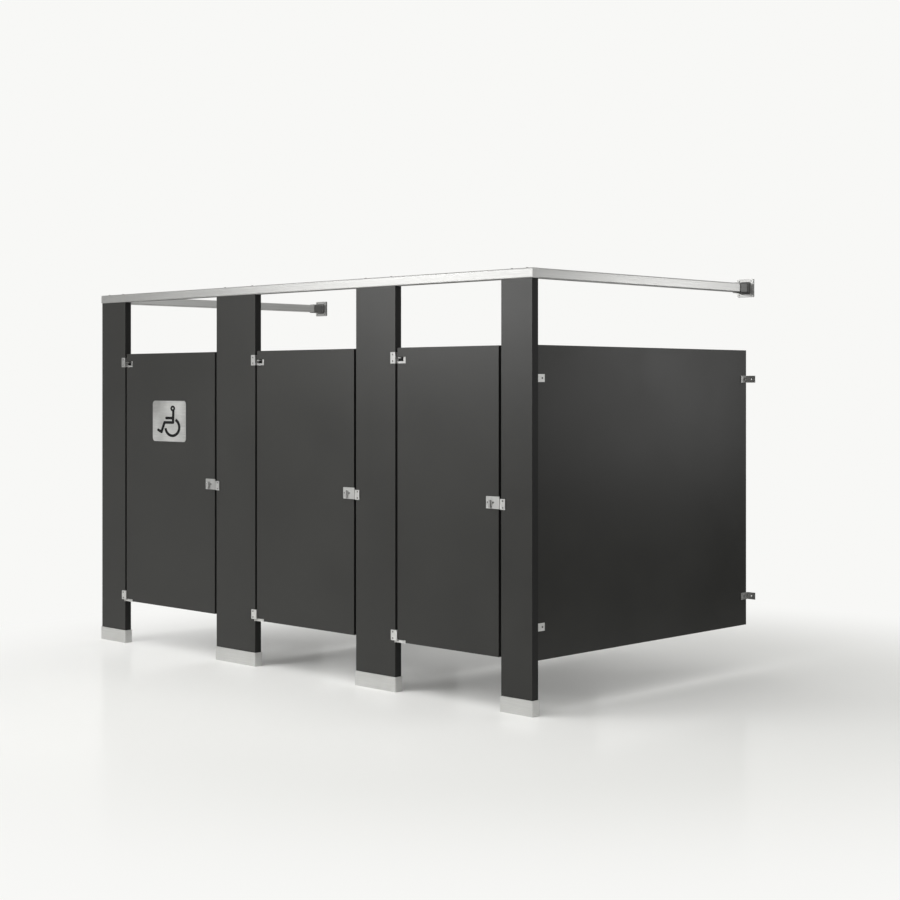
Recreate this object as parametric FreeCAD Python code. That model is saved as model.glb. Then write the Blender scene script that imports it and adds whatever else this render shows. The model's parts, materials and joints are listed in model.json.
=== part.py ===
import FreeCAD, Part
import math
import os

# A toilet partition of three stalls: pilasters in a row under a headrail, with panels back to the wall.
# X runs right along the front, Y from the front to the wall, Z up. The origin is on the floor, mid-way.
# All sizes are in millimetres.

# Widths along the front, from left to right
pilaster_1_width = 241.0
opening_1_width = 885.0
pilaster_2_width = 342.0
opening_2_width = 818.0
pilaster_3_width = 291.0
opening_3_width = 722.0
pilaster_4_width = 196.0

# Heights and depth
door_floor_gap = 254.0
door_height = 1473.0
head_gap = 310.0
wall_distance = 1754.0

# Boards
pilaster_thickness = 42.0
panel_thickness = 25.0
door_thickness = 25.0
board_edge_radius = 1.0
door_side_gap = 16.0
panel_end_gap = 12.0
end_panel_inset = 12.0

# Clearances
running_clearance = 0.05
fit_clearance = 0.2
turn_clearance = 0.3
swing_clearance = 2.5

# Headrail and return rails
rail_size = 48.0
rail_wall = 2.5
rail_corner_radius = 6.0
rail_overhang = 3.0
cap_thickness = 2.0
cap_edge_radius = 1.5
cap_spigot_length = 14.0
corner_spigot_length = 50.0
corner_bolt_bite = 30.0
rail_bolt_inset = 50.0
rail_bolt_radius = 4.0
rail_bolt_bite = 40.0
rail_bolt_head_radius = 7.0
rail_bolt_head_height = 3.5
rail_bolt_socket = 5.0
spacer_wall = 2.5

# Wall flanges
flange_width = 106.0
flange_height = 98.0
flange_thickness = 8.0
flange_corner_radius = 6.0
flange_hole_spacing = 76.0
flange_hole_radius = 3.5
flange_socket_length = 88.0
flange_socket_wall = 4.0
shoulder_step = 5.0
shoulder_length = 16.0
rail_wall_gap = 14.0
set_screw_radius = 3.0
set_screw_setback = 20.0

# Feet and shoes
pilaster_floor_gap = 45.0
shoe_height = 75.0
shoe_overhang = 5.0
shoe_wall = 1.5
shoe_corner_radius = 5.0
shoe_screw_inset = 38.0
shoe_screw_height = 60.0
foot_plate_thickness = 8.0
foot_plate_width = 36.0
foot_plate_end_inset = 8.0
anchor_inset = 24.0
anchor_hole_radius = 5.5
stud_inset = 62.0
stud_radius = 5.0
stud_bite = 40.0
nut_height = 8.0
nut_across_flats = 17.0

# Brackets at the panels' ends
bracket_height = 37.0
bracket_thickness = 3.0
bracket_reach = 44.0
bracket_bolt_share = 0.62
bracket_end_offset = 155.0
wall_bracket_reach = 50.0
wall_leg_length = 50.0
wall_hole_radius = 3.5

# Screws into the pilasters
screw_radius = 2.5
screw_length = 25.0
screw_head_radius = 4.5
screw_head_height = 2.0
screw_socket = 3.5

# Barrel bolts through the panels and doors
barrel_radius = 3.0
barrel_bolt_radius = 2.0
barrel_head_radius = 5.0
barrel_head_height = 2.0
barrel_end_gap = 4.0
barrel_floor = 3.0
barrel_socket = 3.5

# Every bolt and screw head
head_crown_share = 0.7
socket_depth_share = 0.6

# Door pivots
door_swing = math.radians(105)
hinge_inset = 45.0
hinge_plate_thickness = 4.0
hinge_plate_radius = 2.0
hinge_wrap_thickness = 4.0
hinge_screw_pitch = 32.0
top_plate_width = 31.0
top_plate_height = 57.0
top_hinge_drop = 22.0
arm_height = 11.0
arm_thickness = 12.0
guard_height = 4.0
guard_length = 26.0
knuckle_length = 18.0
knuckle_height = 30.0
knuckle_edge_radius = 3.0
hinge_face_recess = 5.5
bottom_plate_width = 28.0
bottom_plate_height = 52.0
bottom_plate_lift = 6.0
shelf_height = 14.0
shelf_drop = 4.0
shelf_nose = 6.5
shelf_edge_radius = 4.0
notch_clearance = 3.0
pin_radius = 4.0
pin_height = 21.0
pin_seat = 12.0
bush_wall = 2.0
bush_height = 24.0
bush_flange_step = 1.5

# Latch on the door
latch_height = 983.0
latch_inset = 51.0
latch_plate_width = 86.0
latch_plate_height = 59.0
latch_plate_thickness = 3.0
latch_plate_radius = 2.0
latch_keeper_gap = 4.0
inner_plate_inset = 3.0
pinion_module = 1.5
pinion_teeth = 18
pressure_angle = math.radians(20)
root_clearance_share = 0.25
tooth_backlash = 0.3
pinion_width = 8.0
turn_angle = math.radians(90)
bolt_thickness = 9.0
bolt_body_height = 10.0
bolt_recess = 0.5
rack_end_margin = 3.5
case_wall = 1.5
case_side_gap = 0.5
case_end_gap = 1.0
barrel_pinion_gap = 1.0
hub_radius = 7.0
spindle_size = 7.0
spindle_hole_radius = 5.5
socket_floor_gap = 0.5
rose_radius = 13.0
bar_head_gap = 0.7
bar_width = 9.0
bar_thickness = 5.0
bar_up = 14.0
bar_down = 27.0
bar_end_radius = 3.0
turn_socket_depth = 5.0

# Keeper on the pilaster
keeper_plate_width = 28.0
keeper_web = 5.0
keeper_height = 51.0
keeper_drop = 6.0
keeper_hole_clearance = 1.2
keeper_pocket_end_gap = 4.0
stop_edge_gap = 2.5
stop_thickness = 4.0
stop_hole_gap = 4.0
stop_top_gap = 2.0
bumper_thickness = 5.0
bumper_setback = 1.0
bumper_edge_radius = 1.5

# Sign on the first door
sign_width = 320.0
sign_height = 236.0
sign_thickness = 2.0
sign_corner_radius = 22.0
sign_centre_height = 1332.0
symbol_thickness = 0.6
symbol_stroke = 16.0
symbol_stretch = 1.35
symbol_head_centre = (26.0, 74.0)
symbol_head_radius = 16.5
symbol_head_hole_radius = 5.0
symbol_neck = (30.0, 62.0)
symbol_hip = (28.0, -7.5)
symbol_elbow = (28.0, 18.0)
symbol_hand = (-20.0, 18.0)
symbol_knee = (-33.0, -7.5)
symbol_heel = (-55.0, -63.0)
symbol_toe = (-78.0, -52.0)
symbol_wheel_centre = (23.0, -35.0)
symbol_wheel_radius = 49.0
symbol_wheel_start = math.radians(63)
symbol_wheel_end = math.radians(187)

# Places worked out from the sizes
X_AXIS = FreeCAD.Vector(1, 0, 0)
Y_AXIS = FreeCAD.Vector(0, 1, 0)
Z_AXIS = FreeCAD.Vector(0, 0, 1)

pilaster_widths = [pilaster_1_width, pilaster_2_width, pilaster_3_width, pilaster_4_width]
opening_widths = [opening_1_width, opening_2_width, opening_3_width]
total_width = sum(pilaster_widths) + sum(opening_widths)

rose_thickness = barrel_head_height + bar_head_gap
front_reach = latch_plate_thickness + turn_clearance + rose_thickness + bar_thickness
front_y = (front_reach - wall_distance) / 2
back_y = front_y + pilaster_thickness
wall_y = front_y + wall_distance
pilaster_middle_y = front_y + pilaster_thickness / 2
door_back_y = front_y + door_thickness
door_middle_y = front_y + door_thickness / 2

door_bottom = door_floor_gap
door_top = door_bottom + door_height
rail_bottom = door_top + head_gap
rail_top = rail_bottom + rail_size
rail_front_y = pilaster_middle_y - rail_size / 2
rail_back_y = pilaster_middle_y + rail_size / 2
rail_middle_z = rail_bottom + rail_size / 2
rail_end_x = total_width / 2 + rail_overhang
return_rail_x = rail_end_x - rail_size / 2

top_plate_bottom = door_top - top_hinge_drop - top_plate_height
knuckle_top = top_plate_bottom + knuckle_height
shelf_bottom = door_bottom - shelf_drop
shelf_top = shelf_bottom + shelf_height
knuckle_depth = door_thickness - 2 * hinge_face_recess
knuckle_corner = math.hypot(max(knuckle_length / 2, shelf_nose), knuckle_depth / 2)
open_door_reach = (knuckle_depth - door_thickness * math.cos(door_swing)) / (2 * math.sin(door_swing))
notch_reach = max(knuckle_corner, open_door_reach) + swing_clearance
bush_radius = pin_radius + running_clearance + bush_wall

pinion_radius = pinion_module * pinion_teeth / 2
pinion_tip_radius = pinion_radius + pinion_module
tooth_depth = pinion_module * (1 + root_clearance_share)
tooth_pitch = math.pi * pinion_module
bolt_travel = pinion_radius * turn_angle
rack_pitch_z = latch_height - pinion_radius
rack_top = rack_pitch_z + pinion_module
bolt_bottom = rack_pitch_z - tooth_depth - bolt_body_height
mesh_reach = math.sqrt(pinion_tip_radius ** 2 - (pinion_radius - pinion_module) ** 2)
rack_gaps_right = math.ceil(mesh_reach / tooth_pitch)
rack_gaps_left = math.ceil((mesh_reach + bolt_travel) / tooth_pitch)
fixing_offset = pinion_tip_radius + barrel_pinion_gap + barrel_radius
latch_overhang = door_side_gap - keeper_web - latch_keeper_gap
case_inner_half = bolt_thickness / 2 + case_side_gap
case_outer_half = case_inner_half + case_wall
outer_plate_y = front_y - latch_plate_thickness
inner_plate_y = door_back_y + latch_plate_thickness


# Basic shapes
def span(one, other):
    """Two limits in rising order."""
    return (min(one, other), max(one, other))


def around(centre, size):
    """Limits of a size about a centre."""
    return (centre - size / 2, centre + size / 2)


def grown(limits, amount):
    """Limits moved apart by an amount at each end."""
    return (limits[0] - amount, limits[1] + amount)


def block(x_limits, y_limits, z_limits):
    """Box between three pairs of limits."""
    lows, highs = zip(x_limits, y_limits, z_limits)
    sides = [high - low for low, high in zip(lows, highs)]
    return Part.makeBox(*sides, FreeCAD.Vector(*lows))


def rounded_block(axis, radius, x_limits, y_limits, z_limits):
    """Box with the four edges along one axis rounded."""
    solid = block(x_limits, y_limits, z_limits)
    edges = [edge for edge in solid.Edges if abs(edge.tangentAt(edge.FirstParameter).dot(axis)) > 0.5]
    return solid.makeFillet(radius, edges)


def board(x_limits, y_limits, z_limits):
    """Board with all its arrises eased."""
    solid = block(x_limits, y_limits, z_limits)
    return solid.makeFillet(board_edge_radius, solid.Edges)


def rod(radius, start, direction, length):
    """Round bar from a point along a direction."""
    return Part.makeCylinder(radius, length, start, direction)


def prism(corners, direction):
    """Solid swept from a flat outline."""
    return Part.Face(Part.makePolygon(corners + corners[:1])).extrude(direction)


def hexagon(across_flats, start, direction, length):
    """Six-sided bar from a point along a direction."""
    side = direction.cross(X_AXIS if abs(direction.x) < 0.5 else Z_AXIS)
    other = direction.cross(side)
    radius = across_flats / math.sqrt(3)
    turns = [math.pi / 3 * corner for corner in range(6)]
    corners = [start + side * (radius * math.cos(turn)) + other * (radius * math.sin(turn)) for turn in turns]
    return prism(corners, direction * length)


def joined(*solids):
    """One solid from pieces that touch or overlap."""
    return solids[0].fuse(list(solids[1:])).removeSplitter().Solids[0]


def drilled(solid, cutters):
    """Solid with every cutter that reaches it taken out."""
    near = [cutter for cutter in cutters if solid.BoundBox.intersect(cutter.BoundBox)]
    return solid.cut(near).Solids[0] if near else solid


def save(name, *solids):
    """Write one named piece, or a group of like pieces."""
    shape = solids[0] if len(solids) == 1 else Part.makeCompound(list(solids))
    shape.exportStep(f"parts/{name}.step")


# Fasteners
class Fasteners:
    """Fasteners of one kind, with the holes that they need."""

    def __init__(self):
        self.solids = []
        self.holes = []

    def add(self, solid, hole):
        self.solids.append(solid)
        self.holes.append(hole)


pilaster_screws = Fasteners()
panel_bolts = Fasteners()
rail_bolts = Fasteners()
corner_bolts = Fasteners()
studs = Fasteners()
pivot_pins = Fasteners()


def head(radius, height, socket, seat, outward):
    """Bolt head on a seat, crowned, with a hexagon socket."""
    crown = Part.makeCone(radius, radius * head_crown_share, height, seat, outward)
    socket_floor = seat + outward * (height * (1 - socket_depth_share))
    return crown.cut(hexagon(socket, socket_floor, outward, height))


def add_screw(seat, inward):
    """Screw through a fitting into a pilaster."""
    shank = rod(screw_radius, seat, inward, screw_length)
    solid = joined(head(screw_head_radius, screw_head_height, screw_socket, seat, inward * -1), shank)
    hole = rod(screw_radius + fit_clearance, seat, inward, screw_length + fit_clearance)
    pilaster_screws.add(solid, hole)


def add_barrel_bolt(group, seat, inward, grip):
    """Barrel nut from the far side of a grip, with a bolt into it from the near side."""
    far_side = seat + inward * grip
    sleeve_start = seat + inward * barrel_end_gap
    sleeve_length = grip - barrel_end_gap
    sleeve = rod(barrel_radius, sleeve_start, inward, sleeve_length)
    barrel = joined(sleeve, head(barrel_head_radius, barrel_head_height, barrel_socket, far_side, inward))
    bore = rod(barrel_bolt_radius + running_clearance, sleeve_start, inward, sleeve_length - barrel_floor)
    shank = rod(barrel_bolt_radius, seat, inward, grip - 2 * barrel_floor)
    bolt = joined(head(barrel_head_radius, barrel_head_height, barrel_socket, seat, inward * -1), shank)
    group.add(barrel.cut(bore).Solids[0], rod(barrel_radius + fit_clearance, seat, inward, grip))
    group.solids.append(bolt)


# Pilasters, shoes and feet
def pilaster_edges():
    """Left and right edge of each pilaster."""
    edges = []
    left = -total_width / 2
    for width, opening in zip(pilaster_widths, opening_widths + [0.0]):
        edges.append((left, left + width))
        left += width + opening
    return edges


PILASTERS = pilaster_edges()


def pilaster(edges, cutters):
    """Upright board from above the floor to the headrail."""
    solid = board(edges, (front_y, back_y), (pilaster_floor_gap, rail_bottom))
    return drilled(solid, cutters)


def shoe(edges):
    """Sheet-metal shoe round a pilaster's foot, closed in at its top."""
    depth = (front_y, back_y)
    outside = rounded_block(Z_AXIS, shoe_corner_radius, grown(edges, shoe_overhang),
                            grown(depth, shoe_overhang), (0, shoe_height))
    inner_gap = shoe_overhang - shoe_wall
    hollow = rounded_block(Z_AXIS, shoe_corner_radius - shoe_wall, grown(edges, inner_gap),
                           grown(depth, inner_gap), (0, shoe_height - shoe_wall))
    throat = block(grown(edges, fit_clearance), grown(depth, fit_clearance), (0, shoe_height))
    return drilled(outside.cut([hollow, throat]).Solids[0], pilaster_screws.holes)


def add_shoe_screws(edges):
    """Two screws through the back of a shoe."""
    for x in grown(edges, -shoe_screw_inset):
        add_screw(FreeCAD.Vector(x, back_y + shoe_overhang, shoe_screw_height), Y_AXIS * -1)


def foot_plate(edges):
    """Flat bar on the floor under a pilaster, with two anchor holes."""
    plate = block(grown(edges, -foot_plate_end_inset), around(pilaster_middle_y, foot_plate_width),
                  (0, foot_plate_thickness))
    anchors = [rod(anchor_hole_radius, FreeCAD.Vector(x, pilaster_middle_y, 0), Z_AXIS, foot_plate_thickness)
               for x in grown(edges, -anchor_inset)]
    return drilled(plate, anchors + studs.holes)


def add_studs(edges):
    """Two levelling studs from a foot plate up into the pilaster."""
    length = pilaster_floor_gap + stud_bite
    for x in grown(edges, -stud_inset):
        base = FreeCAD.Vector(x, pilaster_middle_y, 0)
        hole = rod(stud_radius + fit_clearance, base, Z_AXIS, length + fit_clearance)
        studs.add(rod(stud_radius, base, Z_AXIS, length), hole)


def levelling_nuts(edges):
    """A nut on the foot plate and one under the pilaster, on both studs."""
    nuts = []
    for x in grown(edges, -stud_inset):
        for base in (foot_plate_thickness, pilaster_floor_gap - nut_height):
            nut = hexagon(nut_across_flats, FreeCAD.Vector(x, pilaster_middle_y, base), Z_AXIS, nut_height)
            nuts.append(drilled(nut, studs.holes))
    return nuts


# Headrail, return rails and wall flanges
def rail_tube(axis, x_limits, y_limits, z_limits):
    """Square tube with rounded corners."""
    outside = rounded_block(axis, rail_corner_radius, x_limits, y_limits, z_limits)
    limits = [x_limits, y_limits, z_limits]
    inside = [each if along else grown(each, -rail_wall) for each, along in zip(limits, axis)]
    return outside.cut(rounded_block(axis, rail_corner_radius - rail_wall, *inside)).Solids[0]


def front_rail():
    """Headrail over all the pilasters."""
    tube = rail_tube(X_AXIS, (-rail_end_x, rail_end_x), (rail_front_y, rail_back_y), (rail_bottom, rail_top))
    return drilled(tube, rail_bolts.holes + corner_bolts.holes)


def return_rail(centre_x):
    """Rail from the back of the headrail to the wall flange."""
    return rail_tube(Y_AXIS, around(centre_x, rail_size), (rail_back_y, wall_y - rail_wall_gap),
                     (rail_bottom, rail_top))


def rail_end_cap(side):
    """Cap over an end of the headrail, with a spigot in the tube."""
    end = side * rail_end_x
    section = [(rail_front_y, rail_back_y), (rail_bottom, rail_top)]
    face = rounded_block(X_AXIS, rail_corner_radius, span(end, end + side * cap_thickness), *section)
    outer_x = end + side * cap_thickness
    rim = [edge for edge in face.Edges
           if abs(edge.BoundBox.XMin - outer_x) < fit_clearance and edge.BoundBox.XLength < fit_clearance]
    inner = [grown(each, -rail_wall - fit_clearance) for each in section]
    spigot = rounded_block(X_AXIS, rail_corner_radius - rail_wall, span(end, end - side * cap_spigot_length),
                           *inner)
    return joined(face.makeFillet(cap_edge_radius, rim), spigot)


def corner_spigot(centre_x):
    """Block in the front end of a return rail that its bolt pulls against the headrail."""
    size = rail_size - 2 * (rail_wall + fit_clearance)
    spigot = rounded_block(Y_AXIS, rail_corner_radius - rail_wall, around(centre_x, size),
                           (rail_back_y, rail_back_y + corner_spigot_length), around(rail_middle_z, size))
    return drilled(spigot, corner_bolts.holes)


def add_rail_bolt(group, seat, inward, length):
    """Bolt of the rails' size, from its head's seat."""
    shank = rod(rail_bolt_radius, seat, inward, length)
    top = head(rail_bolt_head_radius, rail_bolt_head_height, rail_bolt_socket, seat, inward * -1)
    group.add(joined(top, shank), rod(rail_bolt_radius + fit_clearance, seat, inward, length + fit_clearance))


def add_pilaster_rail_bolts(edges):
    """Two bolts down through the headrail into a pilaster."""
    for x in grown(edges, -rail_bolt_inset):
        seat = FreeCAD.Vector(x, pilaster_middle_y, rail_top)
        add_rail_bolt(rail_bolts, seat, Z_AXIS * -1, rail_size + rail_bolt_bite)


def rail_spacers(edges):
    """Tubes round the bolts that keep the headrail from being squeezed flat."""
    spacers = []
    for x in grown(edges, -rail_bolt_inset):
        base = FreeCAD.Vector(x, pilaster_middle_y, rail_bottom + rail_wall)
        radius = rail_bolt_radius + fit_clearance + spacer_wall
        spacers.append(drilled(rod(radius, base, Z_AXIS, rail_size - 2 * rail_wall), rail_bolts.holes))
    return spacers


def add_corner_bolt(centre_x):
    """Bolt from inside the headrail into a corner spigot."""
    seat = FreeCAD.Vector(centre_x, rail_back_y - rail_wall, rail_middle_z)
    add_rail_bolt(corner_bolts, seat, Y_AXIS, rail_wall + corner_bolt_bite)


def set_screw(centre_x):
    """Set screw under a flange's socket, up against the return rail."""
    base = FreeCAD.Vector(centre_x, wall_y - flange_socket_length + set_screw_setback,
                          rail_bottom - fit_clearance - flange_socket_wall)
    return rod(set_screw_radius, base, Z_AXIS, flange_socket_wall + fit_clearance)


def wall_flange(centre_x):
    """Plate on the wall with a socket for a return rail."""
    front = wall_y - flange_thickness
    plate = rounded_block(Y_AXIS, flange_corner_radius, around(centre_x, flange_width), (front, wall_y),
                          around(rail_middle_z, flange_height))
    bore_size = rail_size + 2 * fit_clearance
    socket_size = bore_size + 2 * flange_socket_wall
    socket = rounded_block(Y_AXIS, rail_corner_radius + flange_socket_wall, around(centre_x, socket_size),
                           (wall_y - flange_socket_length, wall_y), around(rail_middle_z, socket_size))
    shoulder_size = socket_size + 2 * shoulder_step
    shoulder_front = front - shoulder_length
    shoulder = rounded_block(Y_AXIS, rail_corner_radius + flange_socket_wall + shoulder_step,
                             around(centre_x, shoulder_size), (shoulder_front, wall_y),
                             around(rail_middle_z, shoulder_size))
    rim = [edge for edge in shoulder.Edges if edge.BoundBox.YMax < shoulder_front + fit_clearance]
    shoulder = shoulder.makeFillet(shoulder_step, rim)
    bore = rounded_block(Y_AXIS, rail_corner_radius + fit_clearance, around(centre_x, bore_size),
                         (wall_y - flange_socket_length, wall_y - rail_wall_gap + fit_clearance),
                         around(rail_middle_z, bore_size))
    holes = [rod(flange_hole_radius, FreeCAD.Vector(x, front, z), Y_AXIS, flange_thickness)
             for x in around(centre_x, flange_hole_spacing)
             for z in around(rail_middle_z, flange_hole_spacing)]
    return joined(plate, shoulder, socket).cut([bore, set_screw(centre_x)] + holes).Solids[0]


# Panels and their brackets
def panel_limits():
    """Sides of each panel: one inside each outer pilaster edge, one behind each inner pilaster's middle."""
    left_face = -total_width / 2 + end_panel_inset
    limits = [(left_face, left_face + panel_thickness)]
    limits += [around(sum(edges) / 2, panel_thickness) for edges in PILASTERS[1:-1]]
    limits.append((-left_face - panel_thickness, -left_face))
    return limits


PANELS = panel_limits()
BRACKET_HEIGHTS = (door_bottom + bracket_end_offset, door_top - bracket_end_offset)


def panel(limits):
    """Board from behind a pilaster to near the wall."""
    depth = (back_y + panel_end_gap, wall_y - panel_end_gap)
    return drilled(board(limits, depth, (door_bottom, door_top)), panel_bolts.holes)


def bracket_faces(limits):
    """Outer faces of the bracket legs that lie on a panel's two sides."""
    return grown(limits, fit_clearance + bracket_thickness)


def pilaster_bracket(limits, height):
    """Stirrup on the back of a pilaster that holds a panel's front edge."""
    depth = (back_y, back_y + panel_end_gap + bracket_reach)
    stirrup = block(bracket_faces(limits), depth, around(height, bracket_height))
    throat = block(grown(limits, fit_clearance), (back_y + bracket_thickness, depth[1]),
                   around(height, bracket_height))
    return drilled(stirrup.cut(throat).Solids[0], pilaster_screws.holes + panel_bolts.holes)


def add_pilaster_bracket_fixings(limits, height):
    """Screw into the pilaster and bolt through the panel for one stirrup."""
    add_screw(FreeCAD.Vector(sum(limits) / 2, back_y + bracket_thickness, height), Y_AXIS * -1)
    left, right = bracket_faces(limits)
    bolt_y = back_y + panel_end_gap + bracket_reach * bracket_bolt_share
    seat = FreeCAD.Vector(left, bolt_y, height)
    add_barrel_bolt(panel_bolts, seat, X_AXIS, right - left)


def wall_bracket(panel_face, side, height):
    """Angle with one leg on a panel's side and one on the wall."""
    start = panel_face + side * fit_clearance
    heights = around(height, bracket_height)
    panel_leg = block(span(start, start + side * bracket_thickness),
                      (wall_y - panel_end_gap - wall_bracket_reach, wall_y), heights)
    wall_leg = block(span(start, start + side * wall_leg_length), (wall_y - bracket_thickness, wall_y),
                     heights)
    hole_x = start + side * (bracket_thickness + wall_leg_length) / 2
    hole = rod(wall_hole_radius, FreeCAD.Vector(hole_x, wall_y - bracket_thickness, height), Y_AXIS,
               bracket_thickness)
    return drilled(joined(panel_leg, wall_leg), [hole] + panel_bolts.holes)


def add_wall_bracket_bolt(limits, height):
    """Bolt through a panel and the two angles at the wall."""
    left, right = bracket_faces(limits)
    seat = FreeCAD.Vector(left, wall_y - panel_end_gap - wall_bracket_reach / 2, height)
    add_barrel_bolt(panel_bolts, seat, X_AXIS, right - left)


# Door pivots
def door_edges(stall):
    """Left and right edge of a door, between its pilasters."""
    return (PILASTERS[stall][1] + door_side_gap, PILASTERS[stall + 1][0] - door_side_gap)


def hinge_axis_x(stall):
    """Where a door turns."""
    return door_edges(stall)[0] + hinge_inset


def knuckle_limits():
    """Front and back of the pivot arms, within the door's thickness."""
    return around(door_middle_y, knuckle_depth)


def hinge_wrap(edge, z_limits):
    """Leg of a pivot bracket along the pilaster's side."""
    return block((edge, edge + hinge_wrap_thickness), (front_y - hinge_plate_thickness, knuckle_limits()[1]),
                 z_limits)


def hinge_plate(x_limits, z_limits):
    """Leg of a pivot bracket on the pilaster's front."""
    return rounded_block(Y_AXIS, hinge_plate_radius, x_limits, (front_y - hinge_plate_thickness, front_y),
                         z_limits)


def add_hinge_screws(x, z_limits):
    """Two screws through a pivot bracket's front leg."""
    for z in around(sum(z_limits) / 2, hinge_screw_pitch):
        add_screw(FreeCAD.Vector(x, front_y - hinge_plate_thickness, z), Y_AXIS)


def top_plate_limits():
    """Bottom and top of an upper bracket's front leg."""
    return (top_plate_bottom, top_plate_bottom + top_plate_height)


def bottom_plate_limits():
    """Bottom and top of a lower bracket's front leg."""
    bottom = door_bottom + bottom_plate_lift
    return (bottom, bottom + bottom_plate_height)


def add_top_hinge_fixings(stall):
    """Screws and pivot pin of an upper bracket."""
    edge = PILASTERS[stall][1]
    add_hinge_screws(edge - top_plate_width / 2, top_plate_limits())
    add_pivot_pin(stall, knuckle_top)


def add_bottom_hinge_fixings(stall):
    """Screws and pivot pin of a lower bracket."""
    edge = PILASTERS[stall][1]
    add_hinge_screws(edge - bottom_plate_width / 2, bottom_plate_limits())
    add_pivot_pin(stall, shelf_top)


def add_pivot_pin(stall, seat_top):
    """Pin set in a bracket, standing up into the door's bush."""
    base = FreeCAD.Vector(hinge_axis_x(stall), door_middle_y, seat_top - pin_seat)
    pin = rod(pin_radius, base, Z_AXIS, pin_seat + pin_height)
    pivot_pins.add(pin, rod(pin_radius + running_clearance, base, Z_AXIS, pin_seat + pin_height))


def top_hinge_bracket(stall):
    """Bracket whose arm reaches into the door's edge notch and carries the upper pin."""
    edge = PILASTERS[stall][1]
    axis_x = hinge_axis_x(stall)
    wrap_face = edge + hinge_wrap_thickness
    plate = hinge_plate((edge - top_plate_width, edge + hinge_wrap_thickness), top_plate_limits())
    arm = block((edge, axis_x), around(door_middle_y, arm_thickness),
                (top_plate_bottom, top_plate_bottom + arm_height))
    guard = block((edge, wrap_face + guard_length), around(door_middle_y, arm_thickness),
                  (knuckle_top - guard_height, knuckle_top))
    knuckle = rounded_block(Z_AXIS, knuckle_edge_radius, around(axis_x, knuckle_length), knuckle_limits(),
                            (top_plate_bottom, knuckle_top))
    bracket = joined(plate, hinge_wrap(edge, top_plate_limits()), arm, guard, knuckle)
    return drilled(bracket, pilaster_screws.holes + pivot_pins.holes)


def bottom_hinge_bracket(stall):
    """Bracket whose shelf carries the door's corner on the lower pin."""
    edge = PILASTERS[stall][1]
    plate_top = bottom_plate_limits()[1]
    plate = hinge_plate((edge - bottom_plate_width, edge + door_side_gap - turn_clearance),
                        bottom_plate_limits())
    shelf = rounded_block(Z_AXIS, shelf_edge_radius, (edge, hinge_axis_x(stall) + shelf_nose),
                          knuckle_limits(), (shelf_bottom, shelf_top))
    bracket = joined(plate, hinge_wrap(edge, (shelf_bottom, plate_top)), shelf)
    return drilled(bracket, pilaster_screws.holes + pivot_pins.holes)


def pivot_bush(stall, seat_top):
    """Flanged nylon bush in the door, on a bracket's pin."""
    base = FreeCAD.Vector(hinge_axis_x(stall), door_middle_y, seat_top + turn_clearance)
    flange_height = notch_clearance - turn_clearance
    flange = rod(bush_radius + bush_flange_step, base, Z_AXIS, flange_height)
    sleeve = rod(bush_radius, base, Z_AXIS, flange_height + bush_height)
    bore = rod(pin_radius + running_clearance, base, Z_AXIS, pin_height)
    return joined(flange, sleeve).cut(bore).Solids[0]


# Doors
def hinge_cutters(stall):
    """Notches for the pivot arms and bores for the bushes, in a door's hinge side."""
    notch_x = (door_edges(stall)[0] - door_side_gap, hinge_axis_x(stall) + notch_reach)
    through_y = grown((front_y, door_back_y), swing_clearance)
    top_notch = block(notch_x, through_y, (top_plate_bottom - notch_clearance, knuckle_top + notch_clearance))
    bottom_notch = block(notch_x, through_y, (shelf_bottom, shelf_top + notch_clearance))
    bores = [rod(bush_radius + running_clearance,
                 FreeCAD.Vector(hinge_axis_x(stall), door_middle_y, seat_top + notch_clearance), Z_AXIS,
                 bush_height)
             for seat_top in (knuckle_top, shelf_top)]
    return [top_notch, bottom_notch] + bores


def door(stall, latch_fixings):
    """Door board with its pivot notches and the pocket for its latch."""
    slab = board(door_edges(stall), (front_y, door_back_y), (door_bottom, door_top))
    case_x, case_z = case_limits(stall)
    pocket_x = (case_x[0] - fit_clearance, case_x[1] + swing_clearance)
    pocket = block(pocket_x, around(door_middle_y, 2 * (case_outer_half + fit_clearance)),
                   grown(case_z, fit_clearance))
    spindle_hole = rod(spindle_hole_radius, FreeCAD.Vector(spindle_x(stall), front_y, latch_height), Y_AXIS,
                       door_thickness)
    return drilled(slab, hinge_cutters(stall) + [pocket, spindle_hole] + latch_fixings.holes)


# Latches
def spindle_x(stall):
    """Where a latch's turn sits."""
    return door_edges(stall)[1] - latch_inset


def bolt_limits(stall):
    """Back and front end of a slide bolt, drawn back into the door."""
    back = spindle_x(stall) - rack_gaps_left * tooth_pitch - rack_end_margin
    return (back, door_edges(stall)[1] - bolt_recess)


def case_limits(stall):
    """Outside of a latch case along X and Z."""
    back = bolt_limits(stall)[0] - case_end_gap - case_wall
    bottom = bolt_bottom - fit_clearance - case_wall
    top = latch_height + pinion_tip_radius + case_end_gap + case_wall
    return (back, door_edges(stall)[1]), (bottom, top)


def involute(angle):
    """Angle that an involute flank leans through by a pressure angle."""
    return math.tan(angle) - angle


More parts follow.
